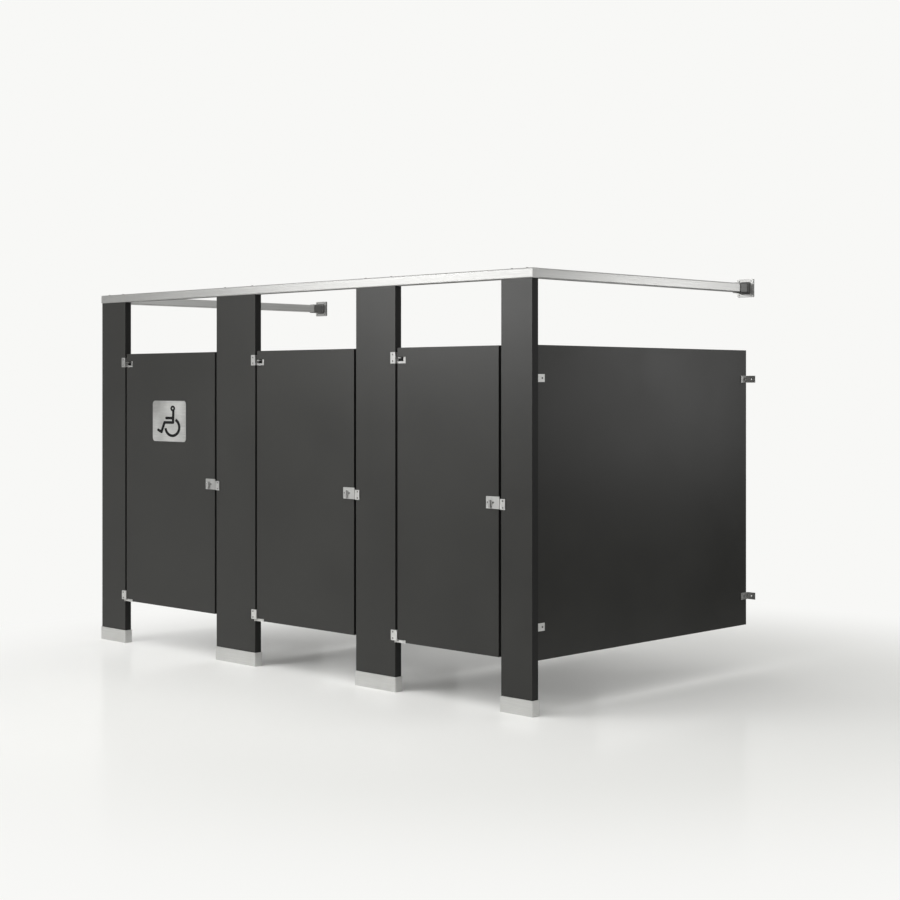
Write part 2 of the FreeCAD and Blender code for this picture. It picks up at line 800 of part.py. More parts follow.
def pinion_corners(stall):
    """Outline of the pinion, with one tooth pointing straight down."""
    base_radius = pinion_radius * math.cos(pressure_angle)
    root_radius = pinion_radius - tooth_depth
    flank = [root_radius, base_radius, pinion_radius, pinion_tip_radius]
    half_at_pitch = (tooth_pitch - tooth_backlash) / (4 * pinion_radius)
    halves = []
    for radius in flank:
        flank_angle = math.acos(base_radius / max(radius, base_radius))
        halves.append(half_at_pitch + involute(pressure_angle) - involute(flank_angle))
    rising = [(radius, -half) for radius, half in zip(flank, halves)]
    falling = [(radius, half) for radius, half in reversed(list(zip(flank, halves)))]
    corners = []
    for tooth in range(pinion_teeth):
        for radius, offset in rising + falling:
            angle = 2 * math.pi * tooth / pinion_teeth + offset
            corners.append(FreeCAD.Vector(spindle_x(stall) + radius * math.sin(angle),
                                          door_middle_y - pinion_width / 2,
                                          latch_height - radius * math.cos(angle)))
    return corners


def spindle_ends():
    """Front and back end of the spindle, inside the two turns."""
    depth = turn_clearance + turn_socket_depth - socket_floor_gap
    return (outer_plate_y - depth, inner_plate_y + depth)


def latch_pinion(stall):
    """Pinion with round hubs that run in the case, on a square spindle."""
    x = spindle_x(stall)
    teeth = prism(pinion_corners(stall), Y_AXIS * pinion_width)
    hub = rod(hub_radius, FreeCAD.Vector(x, door_middle_y - case_outer_half, latch_height), Y_AXIS,
              2 * case_outer_half)
    spindle = block(around(x, spindle_size), spindle_ends(), around(latch_height, spindle_size))
    return joined(teeth, hub, spindle)


def rack_gap(x):
    """Space between two teeth of the bolt's rack."""
    half_at_pitch = (tooth_pitch + tooth_backlash) / 4
    lean = math.tan(pressure_angle)
    half_top = half_at_pitch + pinion_module * lean
    half_bottom = half_at_pitch - tooth_depth * lean
    outline = [(x - half_top, rack_top), (x - half_bottom, rack_pitch_z - tooth_depth),
               (x + half_bottom, rack_pitch_z - tooth_depth), (x + half_top, rack_top)]
    corners = [FreeCAD.Vector(corner_x, door_middle_y - bolt_thickness / 2, z) for corner_x, z in outline]
    return prism(corners, Y_AXIS * bolt_thickness)


def slide_bolt(stall):
    """Latch bolt with a rack along its top."""
    bar = block(bolt_limits(stall), around(door_middle_y, bolt_thickness), (bolt_bottom, rack_top))
    gaps = [rack_gap(spindle_x(stall) + place * tooth_pitch)
            for place in range(-rack_gaps_left, rack_gaps_right + 1)]
    return bar.cut(gaps).Solids[0]


def latch_case(stall, latch_fixings):
    """Case let into the door's edge, and its cover."""
    case_x, case_z = case_limits(stall)
    front = door_middle_y - case_outer_half
    cover_back = door_middle_y - case_inner_half
    shell = block(case_x, (cover_back, door_middle_y + case_outer_half), case_z)
    hollow = block(grown(case_x, -case_wall), around(door_middle_y, 2 * case_inner_half),
                   grown(case_z, -case_wall))
    bolt_slot = block((case_x[1] - 2 * case_wall, case_x[1]),
                      around(door_middle_y, bolt_thickness + 2 * fit_clearance),
                      (bolt_bottom - fit_clearance, rack_top + fit_clearance))
    hub_bore = rod(hub_radius + running_clearance, FreeCAD.Vector(spindle_x(stall), front, latch_height),
                   Y_AXIS, 2 * case_outer_half)
    cover = block(case_x, (front, cover_back), case_z)
    cutters = [hub_bore] + latch_fixings.holes
    return [drilled(shell.cut([hollow, bolt_slot]).Solids[0], cutters), drilled(cover, cutters)]


def latch_bolts(stall):
    """Two bolts that clamp the latch plates to a door."""
    bolts = Fasteners()
    for x in around(spindle_x(stall), 2 * fixing_offset):
        seat = FreeCAD.Vector(x, outer_plate_y, latch_height)
        add_barrel_bolt(bolts, seat, Y_AXIS, inner_plate_y - outer_plate_y)
    return bolts


def latch_plates(stall, latch_fixings):
    """Plates on the outside and the inside of a door, the outer one past the door's edge as its stop."""
    edge = door_edges(stall)[1]
    left = edge + latch_overhang - latch_plate_width
    heights = around(latch_height, latch_plate_height)
    outer = rounded_block(Y_AXIS, latch_plate_radius, (left, edge + latch_overhang), (outer_plate_y, front_y),
                          heights)
    inner = rounded_block(Y_AXIS, latch_plate_radius, (left, edge - inner_plate_inset),
                          (door_back_y, inner_plate_y), heights)
    spindle_hole = rod(spindle_hole_radius, FreeCAD.Vector(spindle_x(stall), outer_plate_y, latch_height),
                       Y_AXIS, inner_plate_y - outer_plate_y)
    cutters = [spindle_hole] + latch_fixings.holes
    return [drilled(outer, cutters), drilled(inner, cutters)]


def thumb_turn(stall, plate_face, side):
    """Round rose with an upright bar, on an end of the spindle."""
    x = spindle_x(stall)
    rose_face = plate_face + side * turn_clearance
    bar_face = rose_face + side * rose_thickness
    rose = rod(rose_radius, FreeCAD.Vector(x, rose_face, latch_height), Y_AXIS * side, rose_thickness)
    bar = rounded_block(Y_AXIS, bar_end_radius, around(x, bar_width),
                        span(bar_face, bar_face + side * bar_thickness),
                        (latch_height - bar_down, latch_height + bar_up))
    socket_size = spindle_size + 2 * running_clearance
    socket = block(around(x, socket_size), span(rose_face, rose_face + side * turn_socket_depth),
                   around(latch_height, socket_size))
    return joined(rose, bar).cut(socket).Solids[0]


# Keepers
def keeper_heights():
    """Bottom and top of a keeper."""
    return around(latch_height - keeper_drop, keeper_height)


def keeper_hole_limits():
    """Depth and height of the hole that the bolt shoots into."""
    depth = around(door_middle_y, bolt_thickness + 2 * keeper_hole_clearance)
    return depth, grown((bolt_bottom, rack_top), keeper_hole_clearance)


def stop_limits(stall):
    """Width and height of a keeper's stop, behind the overhang of the latch plate."""
    edge = PILASTERS[stall + 1][0]
    width = (edge - door_side_gap + stop_edge_gap, edge - keeper_web)
    return width, (keeper_hole_limits()[1][1] + stop_hole_gap, keeper_heights()[1] - stop_top_gap)


def keeper(stall):
    """Angle round a pilaster's edge with a hole for the bolt and a stop for the door."""
    edge = PILASTERS[stall + 1][0]
    front = front_y - hinge_plate_thickness
    plate = rounded_block(Y_AXIS, hinge_plate_radius, (edge - keeper_web, edge + keeper_plate_width),
                          (front, front_y), keeper_heights())
    web = block((edge - keeper_web, edge), (front + hinge_plate_thickness / 2, door_back_y), keeper_heights())
    stop_x, stop_z = stop_limits(stall)
    stop_front = front_y + turn_clearance + bumper_thickness
    stop = block((stop_x[0], edge), (stop_front, stop_front + stop_thickness), stop_z)
    hole = block((edge - keeper_web, edge), *keeper_hole_limits())
    return drilled(joined(plate, web, stop).cut(hole).Solids[0], pilaster_screws.holes)


def keeper_bumper(stall):
    """Rubber pad on a keeper's stop, just behind the closed door's latch plate."""
    stop_x, stop_z = stop_limits(stall)
    start = front_y + turn_clearance
    return rounded_block(Z_AXIS, bumper_edge_radius, (stop_x[0], stop_x[1] - fit_clearance),
                         (start, start + bumper_thickness), grown(stop_z, -bumper_setback))


def keeper_pocket(stall):
    """Room in a pilaster's edge for the tip of the bolt."""
    edge = PILASTERS[stall + 1][0]
    depth = max(bolt_travel - bolt_recess - door_side_gap, 0) + keeper_pocket_end_gap
    return block((edge, edge + depth), *keeper_hole_limits())


def add_keeper_screws(stall):
    """Two screws through a keeper's front plate."""
    add_hinge_screws(PILASTERS[stall + 1][0] + keeper_plate_width / 2, keeper_heights())


# Sign
def sign_plate():
    """Rounded plate on the first door."""
    centre_x = sum(door_edges(0)) / 2
    return rounded_block(Y_AXIS, sign_corner_radius, around(centre_x, sign_width),
                         (front_y - sign_thickness, front_y), around(sign_centre_height, sign_height))


def on_sign(place):
    """Point of the pictogram's plane, measured from the plate's centre."""
    return FreeCAD.Vector(place[0], 0, place[1])


def stroke(start, end):
    """Round-ended bar of the pictogram."""
    first, last = on_sign(start), on_sign(end)
    half = (last - first).cross(Y_AXIS).normalize() * (symbol_stroke / 2)
    bar = prism([first + half, last + half, last - half, first - half], Y_AXIS * symbol_thickness)
    ends = [rod(symbol_stroke / 2, place, Y_AXIS, symbol_thickness) for place in (first, last)]
    return bar.fuse(ends)


def ring(centre, outer_radius, inner_radius):
    """Flat ring of the pictogram."""
    disc = rod(outer_radius, on_sign(centre), Y_AXIS, symbol_thickness)
    return disc.cut(rod(inner_radius, on_sign(centre), Y_AXIS, symbol_thickness))


def symbol_wheel():
    """Ring left open between two angles."""
    centre = on_sign(symbol_wheel_centre)
    reach = 2 * (symbol_wheel_radius + symbol_stroke)
    turns = [symbol_wheel_start, (symbol_wheel_start + symbol_wheel_end) / 2, symbol_wheel_end]
    rim = [centre + FreeCAD.Vector(reach * math.cos(turn), 0, reach * math.sin(turn)) for turn in turns]
    opening = prism([centre] + rim, Y_AXIS * symbol_thickness)
    whole = ring(symbol_wheel_centre, symbol_wheel_radius + symbol_stroke / 2,
                 symbol_wheel_radius - symbol_stroke / 2)
    return whole.cut(opening)


def sign_symbol():
    """Figure in a wheelchair, raised on the sign, drawn wide as the plate is."""
    figure = ring(symbol_head_centre, symbol_head_radius, symbol_head_hole_radius)
    limbs = [stroke(symbol_neck, symbol_hip), stroke(symbol_elbow, symbol_hand),
             stroke(symbol_hip, symbol_knee), stroke(symbol_knee, symbol_heel),
             stroke(symbol_heel, symbol_toe)]
    figure = figure.fuse(limbs).removeSplitter()
    widen = FreeCAD.Matrix()
    widen.scale(symbol_stretch, 1, 1)
    symbol_face = front_y - sign_thickness - symbol_thickness
    place = FreeCAD.Vector(sum(door_edges(0)) / 2, symbol_face, sign_centre_height)
    pieces = figure.Solids + symbol_wheel().Solids
    return [piece.transformGeometry(widen).translated(place).Solids[0] for piece in pieces]


# Assembly
def add_fixings():
    """Every fastener that joins the fixed pieces, before the pieces are drilled for them."""
    for edges in PILASTERS:
        add_shoe_screws(edges)
        add_studs(edges)
        add_pilaster_rail_bolts(edges)
    for side in (-1, 1):
        add_corner_bolt(side * return_rail_x)
    for limits in PANELS:
        for height in BRACKET_HEIGHTS:
            add_pilaster_bracket_fixings(limits, height)
            add_wall_bracket_bolt(limits, height)
    for stall in range(len(opening_widths)):
        add_top_hinge_fixings(stall)
        add_bottom_hinge_fixings(stall)
        add_keeper_screws(stall)


def save_frame():
    """Pilasters, shoes, feet and rails."""
    pockets = [keeper_pocket(stall) for stall in range(len(opening_widths))]
    cutters = pilaster_screws.holes + studs.holes + rail_bolts.holes + pockets
    for number, edges in enumerate(PILASTERS, start=1):
        save(f"pilaster_{number}", pilaster(edges, cutters))
        save(f"pilaster_shoe_{number}", shoe(edges))
    save("foot_plates", *[foot_plate(edges) for edges in PILASTERS])
    save("levelling_studs", *studs.solids)
    save("levelling_nuts", *[nut for edges in PILASTERS for nut in levelling_nuts(edges)])
    save("pilaster_screws", *pilaster_screws.solids)
    save("front_rail", front_rail())
    save("return_rail_left", return_rail(-return_rail_x))
    save("return_rail_right", return_rail(return_rail_x))
    save("rail_end_caps", *[rail_end_cap(side) for side in (-1, 1)])
    save("rail_corner_spigots", *[corner_spigot(side * return_rail_x) for side in (-1, 1)])
    save("rail_corner_bolts", *corner_bolts.solids)
    save("rail_bolts", *rail_bolts.solids)
    save("rail_spacers", *[spacer for edges in PILASTERS for spacer in rail_spacers(edges)])
    save("wall_flanges", *[wall_flange(side * return_rail_x) for side in (-1, 1)])
    save("flange_set_screws", *[set_screw(side * return_rail_x) for side in (-1, 1)])


def save_panels():
    """Panels with their brackets and bolts."""
    names = ["end_panel_left", "divider_panel_1", "divider_panel_2", "end_panel_right"]
    for name, limits in zip(names, PANELS):
        save(name, panel(limits))
    places = [(limits, height) for limits in PANELS for height in BRACKET_HEIGHTS]
    save("pilaster_brackets", *[pilaster_bracket(limits, height) for limits, height in places])
    angles = [wall_bracket(limits[end], side, height)
              for limits, height in places
              for end, side in ((0, -1), (1, 1))]
    save("wall_brackets", *angles)
    save("panel_bolts", *panel_bolts.solids)


def save_doors():
    """Doors with their pivots and latches, and the keepers beside them."""
    stalls = range(len(opening_widths))
    save("top_hinge_brackets", *[top_hinge_bracket(stall) for stall in stalls])
    save("bottom_hinge_brackets", *[bottom_hinge_bracket(stall) for stall in stalls])
    save("pivot_pins", *pivot_pins.solids)
    save("keepers", *[keeper(stall) for stall in stalls])
    save("keeper_bumpers", *[keeper_bumper(stall) for stall in stalls])
    for stall in stalls:
        number = stall + 1
        fixings = latch_bolts(stall)
        save(f"door_{number}", door(stall, fixings))
        save(f"pivot_bushes_{number}", pivot_bush(stall, knuckle_top), pivot_bush(stall, shelf_top))
        save(f"latch_plates_{number}", *latch_plates(stall, fixings))
        save(f"latch_case_{number}", *latch_case(stall, fixings))
        save(f"latch_bolts_{number}", *fixings.solids)
        save(f"latch_pinion_{number}", latch_pinion(stall))
        turns = [thumb_turn(stall, outer_plate_y, -1), thumb_turn(stall, inner_plate_y, 1)]
        save(f"thumb_turns_{number}", *turns)
        save(f"slide_bolt_{number}", slide_bolt(stall))
    save("sign_plate", sign_plate())
    save("sign_symbol", *sign_symbol())


os.makedirs("parts", exist_ok=True)
add_fixings()
save_frame()
save_panels()
save_doors()
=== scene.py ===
import json
import math

import bpy
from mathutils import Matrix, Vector


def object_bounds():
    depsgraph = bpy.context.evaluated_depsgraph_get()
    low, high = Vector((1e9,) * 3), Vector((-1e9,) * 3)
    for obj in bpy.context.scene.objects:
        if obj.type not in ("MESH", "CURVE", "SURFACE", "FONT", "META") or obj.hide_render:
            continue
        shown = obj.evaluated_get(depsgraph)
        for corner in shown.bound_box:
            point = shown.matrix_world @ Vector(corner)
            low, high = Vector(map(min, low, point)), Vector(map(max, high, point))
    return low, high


# Looks of the toilet partition: a material for every piece, a pale studio and the photograph's camera.
# Lengths are in metres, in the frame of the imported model. Colours are linear.

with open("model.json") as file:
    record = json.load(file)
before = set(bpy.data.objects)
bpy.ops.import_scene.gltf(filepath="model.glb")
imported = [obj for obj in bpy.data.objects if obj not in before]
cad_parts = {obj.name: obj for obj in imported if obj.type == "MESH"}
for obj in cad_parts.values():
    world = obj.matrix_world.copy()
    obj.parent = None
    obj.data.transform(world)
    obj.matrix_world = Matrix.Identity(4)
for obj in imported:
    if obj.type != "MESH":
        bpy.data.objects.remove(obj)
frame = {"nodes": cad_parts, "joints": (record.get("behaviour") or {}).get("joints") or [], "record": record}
cad_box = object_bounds()

X_AXIS = Vector((1, 0, 0))
Y_AXIS = Vector((0, 1, 0))
Z_AXIS = Vector((0, 0, 1))

# Camera: level, with its picture plane upright
camera_place = (6.9546, -6.7274, 1.5299)
camera_tilt = math.radians(90)
camera_turn = math.radians(44.43)
camera_lens = 67.573
camera_sensor = 36.0
camera_shift = (0.0, -0.06997)
camera_reach = 300.0

# Studio: levels are the brightness on its dim side and on its bright side
backdrop_white = (0.938, 0.938, 0.922, 1.0)
backdrop_strength = 1.0
backdrop_rays = ("Is Transmission Ray", "Is Camera Ray")
bright_side = Vector((-0.6, -0.6, 0.5)).normalized()
fill_levels = (0.12, 1.22)
mirrored_sky_levels = (0.44, 0.6)
mirrored_floor_levels = (0.02, 0.8)

# Softboxes: place, the point each faces, width and height, power in watts, and spread where it is narrowed
softboxes = {
    "key_light": {"place": (-1.15, -3.89, 2.58), "target": (1.4, -0.87, 1.9), "size": (2.0, 1.35),
                  "power": 32.6, "spread": math.radians(140)},
    "side_light": {"place": (3.88, 2.79, 1.73), "target": (1.745, 0.2, 1.6), "size": (0.3, 1.47),
                   "power": 12.0},
    "top_light": {"place": (2.6, -2.8, 5.3), "target": (2.3, -1.0, 0.0), "size": (6.0, 3.0),
                  "power": 50.5},
    "front_light": {"place": (-1.2, -7.0, 2.9), "target": (-0.6, 1.3, 0.0), "size": (4.0, 0.8),
                    "power": 6.8, "spread": math.radians(36)},
    "strip_light": {"place": (-0.8, -2.3, 2.6), "target": (-0.8, -1.05, 0.0), "size": (5.5, 0.4),
                    "power": 2.4, "spread": math.radians(60)},
    "back_light": {"place": (-1.5, 3.3, 2.6), "target": (-1.0, 0.1, 0.0), "size": (1.6, 1.2),
                   "power": 6.0, "spread": math.radians(70)},
}

# Floor: it fades into the backdrop between two distances from a middle, as it is seen and as it is mirrored
floor_colour = (0.9, 0.9, 0.885, 1.0)
floor_roughness = 0.14
floor_gloss = 0.02
floor_half_size = 80.0
floor_drop = 0.0005
seen_fade_middle = Vector((1.2, -0.4, 0.0))
seen_fade_ends = (1.9, 3.9)
mirrored_fade_middle = Vector((0.0, 0.0, 0.0))
mirrored_fade_ends = (2.2, 3.6)

# Spans: a whole share, the usual reach of noise, opposite to same direction, and beside to facing
whole_span = (0.0, 1.0)
noise_span = (0.3, 0.7)
direction_span = (-1.0, 1.0)
facing_span = (0.6, 0.85)

# Places of the results among a mix node's outputs
mixed_number = 0
mixed_colour = 2

# Tones of the boards, the darkest and the lightest of each look
board_tones = ((0.0125, 0.0124, 0.011, 1.0), (0.0215, 0.0213, 0.019, 1.0))
# The core tone is the laminate's own dark core, made darker still as painted shade on the board edges
core_tones_with_painted_shade = ((0.005, 0.005, 0.0048, 1.0), (0.0115, 0.0113, 0.0108, 1.0))

# Tones of the metals
plate_tones = ((0.4, 0.4, 0.392, 1), (0.54, 0.54, 0.53, 1))
# Top hinge brackets: the plate steel, made darker as painted shade
top_hinge_shaded_tones = ((0.36, 0.36, 0.353, 1), (0.48, 0.48, 0.47, 1))
# Bottom hinge brackets: the plate steel, made lighter as painted light
bottom_hinge_lit_tones = ((0.58, 0.58, 0.568, 1), (0.76, 0.76, 0.745, 1))
# Keepers: the plate steel, made lighter as painted light
keeper_lit_tones = ((0.45, 0.45, 0.441, 1), (0.6, 0.6, 0.588, 1))
# Shoes: the plate steel, made lighter as painted light
shoe_lit_tones = ((0.57, 0.57, 0.559, 1), (0.75, 0.75, 0.736, 1))
# Pilaster brackets: the plate steel, made much lighter as painted light on their dim side
bracket_lit_tones = ((0.72, 0.72, 0.705, 1), (0.86, 0.86, 0.845, 1))
flange_tones = ((0.54, 0.54, 0.53, 1), (0.67, 0.67, 0.657, 1))
# Flange socket and plate rims: darker as painted shade
socket_and_rim_shade_tones = ((0.17, 0.17, 0.166, 1), (0.26, 0.26, 0.255, 1))
headrail_tones = ((0.44, 0.44, 0.431, 1), (0.53, 0.53, 0.52, 1))
# Return rails: the headrail aluminium, made lighter as painted light
return_rail_lit_tones = ((0.58, 0.58, 0.568, 1), (0.69, 0.69, 0.676, 1))
spigot_tones = ((0.55, 0.55, 0.56, 1), (0.68, 0.68, 0.68, 1))
sign_tones_with_painted_sheen = ((0.42, 0.42, 0.41, 1), (0.76, 0.76, 0.745, 1))
# Fasteners: dark as painted shade of the holes around them
fastener_shade_tones = ((0.14, 0.14, 0.135, 1), (0.28, 0.278, 0.27, 1))
zinc_tones = ((0.4, 0.42, 0.45, 1), (0.62, 0.63, 0.64, 1))
cap_tones = ((0.62, 0.62, 0.61, 1), (0.74, 0.74, 0.725, 1))

# Tones of what is moulded or painted
bar_tones = ((0.24, 0.24, 0.235, 1), (0.32, 0.32, 0.314, 1))
nylon_tones = ((0.68, 0.67, 0.62, 1), (0.8, 0.79, 0.75, 1))
rubber_tones = ((0.012, 0.012, 0.012, 1), (0.028, 0.028, 0.027, 1))
paint_tones = ((0.006, 0.006, 0.006, 1), (0.012, 0.012, 0.012, 1))

# Roughness, the least and the most of each look
board_roughness = (0.36, 0.46)
core_roughness = (0.48, 0.6)
satin_roughness = (0.42, 0.58)
shoe_roughness = (0.34, 0.5)
headrail_roughness = (0.46, 0.58)
return_rail_roughness = (0.34, 0.46)
spigot_roughness = (0.3, 0.45)
sign_roughness = (0.3, 0.44)
fastener_roughness = (0.22, 0.42)
lever_roughness = (0.28, 0.42)
zinc_roughness = (0.3, 0.52)
nylon_roughness = (0.38, 0.5)
rubber_roughness = (0.6, 0.8)
cap_roughness = (0.4, 0.55)
paint_roughness = (0.55, 0.7)

# Gloss of what isn't metal
board_gloss = 0.4
core_gloss = 0.3
moulded_gloss = 0.5
paint_gloss = 0.1

# Scales of the patterns, in features to a metre: one for all ways, or two, along an axis and across it
pebble_scale = 650.0
fleck_scale = 1900.0
mottle_scale = 2.6
core_layer_scales = (1600.0, 14.0)
streak_scales = (7.0, 900.0)
hair_scales = (28.0, 3200.0)
brushed_cloud_scale = 5.0
die_line_scales = (0.7, 420.0)
etch_scale = 2600.0
drawn_cloud_scales = (2.0, 9.0)
fastener_mark_scale = 900.0
fastener_tint_scale = 40.0
lever_mark_scale = 1200.0
lever_turned_scales = (2600.0, 40.0)
flange_streak_scales = (9.0, 800.0)
sand_scale = 1100.0
spangle_scale = 260.0
zinc_grain_scale = 700.0
moulded_cloud_scale = 60.0
nylon_grain_scale = 1500.0
rubber_grain_scale = 1800.0
cap_grain_scale = 1400.0
paint_grain_scale = 420.0

# Depths of the reliefs
board_relief = 0.00012
rubber_relief = 0.00006
zinc_relief = 0.00004
paint_relief = 0.00004
fine_relief = 0.00003
drawn_relief = 0.00002

# Seams: short stretches, from front to back, over which one piece changes from one look to another
seam_width = 0.0004

# Latch turns: the bar stands further from the door's middle plane than the rose does
door_hinge = next(joint for joint in frame["joints"] if joint["name"] == "door_1_swing")
door_middle = door_hinge["pos_m"][1]
rose_top = 0.0187
rose_seam = (rose_top, rose_top + seam_width)

# Wall flanges: the seam ends just before the front of the plate, and the plate lies against the wall
flange_thickness = 0.008
flange_lead = 0.0002
flange_seam_end = cad_box[1][1] - flange_thickness - flange_lead
flange_seam = (flange_seam_end - seam_width, flange_seam_end)


class Nodes:
    """A node tree, with short ways to add what it needs."""

    def __init__(self, tree):
        self.tree = tree

    def feed(self, socket, value):
        """Link a socket to what another node gives, or set it to a value."""
        if isinstance(value, bpy.types.NodeSocket):
            self.tree.links.new(value, socket)
        else:
            socket.default_value = value

    def add(self, kind, inputs, **settings):
        """New node, with its settings and its inputs."""
        node = self.tree.nodes.new(kind)
        for name, value in settings.items():
            setattr(node, name, value)
        for name, value in inputs.items():
            self.feed(node.inputs[name], value)
        return node

    def arithmetic(self, operation, *numbers):
        """Number worked out from others."""
        node = self.add("ShaderNodeMath", dict(enumerate(numbers)), operation=operation)
        return node.outputs["Value"]

    def measure(self, operation, *vectors):
        """Number worked out from vectors."""
        node = self.add("ShaderNodeVectorMath", dict(enumerate(vectors)), operation=operation)
        return node.outputs["Value"]

    def between(self, factor, ends, span=noise_span, **settings):
        """Number that goes from one end to the other as the factor goes over a span."""
        start, end = span
        low, high = ends
        inputs = {"Value": factor, "From Min": start, "From Max": end, "To Min": low, "To Max": high}
        return self.add("ShaderNodeMapRange", inputs, **settings).outputs["Result"]

    def mix_shaders(self, share, one, other):
        """First surface, with a share of the second over it."""
        node = self.add("ShaderNodeMixShader", {"Fac": share, 1: one, 2: other})
        return node.outputs["Shader"]

    def studio_level(self, direction, levels):
        """Brightness of the studio in a direction: dim at the back right, bright at the front left."""
        facing = self.measure("DOT_PRODUCT", direction, bright_side)
        return self.between(facing, levels, span=direction_span)


class Look(Nodes):
    """One material, with short ways to add its patterns."""

    def __init__(self, name, **sockets):
        self.material = bpy.data.materials.new(name)
        self.material.use_nodes = True
        super().__init__(self.material.node_tree)
        self.shader = self.tree.nodes["Principled BSDF"]
        coordinates = self.add("ShaderNodeTexCoord", {})
        self.place = coordinates.outputs["Object"]
        self.normal = coordinates.outputs["Normal"]
        self.set(**sockets)

    def set(self, **sockets):
        """Feed the shader's sockets, named with underscores for spaces."""
        for name, value in sockets.items():
            self.feed(self.shader.inputs[name.replace("_", " ")], value)

    def depth(self):
        """Place from front to back."""
        return self.add("ShaderNodeSeparateXYZ", {"Vector": self.place}).outputs["Y"]

    def faces(self, axis):
        """1 where the surface looks along an axis, either way, and 0 on the surfaces beside it."""
        facing = self.arithmetic("ABSOLUTE", self.measure("DOT_PRODUCT", self.normal, axis))
        return self.between(facing, whole_span, span=facing_span)

    def stretched(self, scale):
        """Place, scaled along each axis."""
        inputs = {"Vector": self.place, "Scale": [1 / each for each in scale]}
        return self.add("ShaderNodeMapping", inputs, vector_type="TEXTURE").outputs["Vector"]

    def noise(self, scale, detail=3.0, roughness=0.5):
        """Noise from 0 to 1, finer along the axes with a larger scale."""
        inputs = {"Vector": self.stretched(scale), "Scale": 1.0, "Detail": detail, "Roughness": roughness}
        return self.add("ShaderNodeTexNoise", inputs).outputs["Fac"]

    def cells(self, scale):
        """A random tone for each cell of a fine network."""
        node = self.add("ShaderNodeTexVoronoi", {"Vector": self.stretched(scale), "Scale": 1.0})
        return node.outputs["Color"]

    def mix(self, factor, one, other):
        """Number between two others."""
        node = self.add("ShaderNodeMix", {"Factor": factor, "A": one, "B": other})
        return node.outputs[mixed_number]

    def blend(self, factor, one, other):
        """Colour between two others."""
        node = self.add("ShaderNodeMix", {"Factor": factor, "A": one, "B": other}, data_type="RGBA")
        return node.outputs[mixed_colour]

    def shade(self, factor, tones, span=noise_span):
        """Colour that goes from one tone to the other as the factor goes over a span."""
        return self.blend(self.between(factor, whole_span, span), *tones)

    def sum(self, one, other, share):
        """First number plus a share of the second."""
        return self.arithmetic("MULTIPLY_ADD", other, share, one)

    def bump(self, height, depth):
        """Relief of a height's pattern, as deep as given."""
        node = self.add("ShaderNodeBump", {"Height": height, "Strength": 1.0, "Distance": depth})
        self.set(Normal=node.outputs["Normal"])


def even(scale):
    """The same scale along every axis."""
    return (scale, scale, scale)


def along(axis, axis_scale, cross_scale):
    """One scale along an axis, and another across it."""
    return [axis_scale if each else cross_scale for each in axis]


def board_look(name, facing):
    """Compact laminate: pebbled charcoal faces, and a layered, darker core at the edges, made darker still
    as painted shade.
    """
    look = Look(name)
    is_face = look.faces(facing)
    pebbles = look.noise(even(pebble_scale), detail=2.0)
    flecks = look.noise(even(fleck_scale), detail=1.0)
    mottle = look.noise(even(mottle_scale), detail=4.0)
    layers = look.noise(along(facing, *core_layer_scales), detail=2.0)
    face_colour = look.shade(look.sum(flecks, mottle, share=0.5), board_tones, span=(0.55, 0.95))
    edge_colour_with_painted_shade = look.shade(layers, core_tones_with_painted_shade)
    face_roughness = look.between(look.sum(pebbles, mottle, share=0.6), board_roughness, span=(0.6, 1.0))
    edge_roughness = look.between(layers, core_roughness)
    look.set(Base_Color=look.blend(is_face, edge_colour_with_painted_shade, face_colour))
    look.set(Roughness=look.mix(is_face, edge_roughness, face_roughness))
    look.set(Specular_IOR_Level=look.between(is_face, (core_gloss, board_gloss), span=whole_span))
    look.bump(look.mix(is_face, layers, pebbles), board_relief)
    return look.material


def brushed_look(name, grain, tones, roughness, cloud_and_sheen_share=0.4):
    """Metal brushed along one axis, with a soft cloud in its tone; on the sign the cloud is strong enough to
    be a painted sheen.
    """
    look = Look(name, Metallic=1.0)
    streaks = look.noise(along(grain, *streak_scales), detail=3.0)
    hairs = look.noise(along(grain, *hair_scales), detail=2.0)
    cloud = look.noise(even(brushed_cloud_scale), detail=3.0)
    lines = look.sum(streaks, hairs, share=0.5)
    tone_span = [end + cloud_and_sheen_share / 2 for end in (0.45, 1.05)]
    look.set(Base_Color=look.shade(look.sum(lines, cloud, share=cloud_and_sheen_share), tones, span=tone_span))
    look.set(Roughness=look.between(look.sum(lines, cloud, share=0.5), roughness, span=(0.7, 1.3)))
    look.bump(lines, fine_relief)
    return look.material


def drawn_look(name, grain, tones, roughness):
    """Anodised extrusion: faint die lines along its length under a satin etch."""
    look = Look(name, Metallic=1.0)
    lines = look.noise(along(grain, *die_line_scales), detail=2.0)
    etch = look.noise(even(etch_scale), detail=1.0)
    cloud = look.noise(along(grain, *drawn_cloud_scales), detail=3.0)
    look.set(Base_Color=look.shade(look.sum(lines, cloud, share=0.6), tones, span=(0.5, 1.1)))
    look.set(Roughness=look.between(look.sum(etch, cloud, share=0.5), roughness, span=(0.5, 1.0)))
    look.bump(look.sum(lines, etch, share=0.4), drawn_relief)
    return look.material


def fastener_look(name):
    """Plain stainless screws and bolts with a tumbled grain, made dark as painted shade of the holes around
    them.
    """
    look = Look(name, Metallic=1.0)
    marks = look.noise(even(fastener_mark_scale), detail=4.0, roughness=0.65)
    tint = look.noise(even(fastener_tint_scale), detail=2.0)
    look.set(Base_Color=look.shade(look.sum(marks, tint, share=0.5), fastener_shade_tones, span=(0.55, 0.95)))
    look.set(Roughness=look.between(marks, fastener_roughness))
    look.bump(marks, fine_relief)
    return look.material


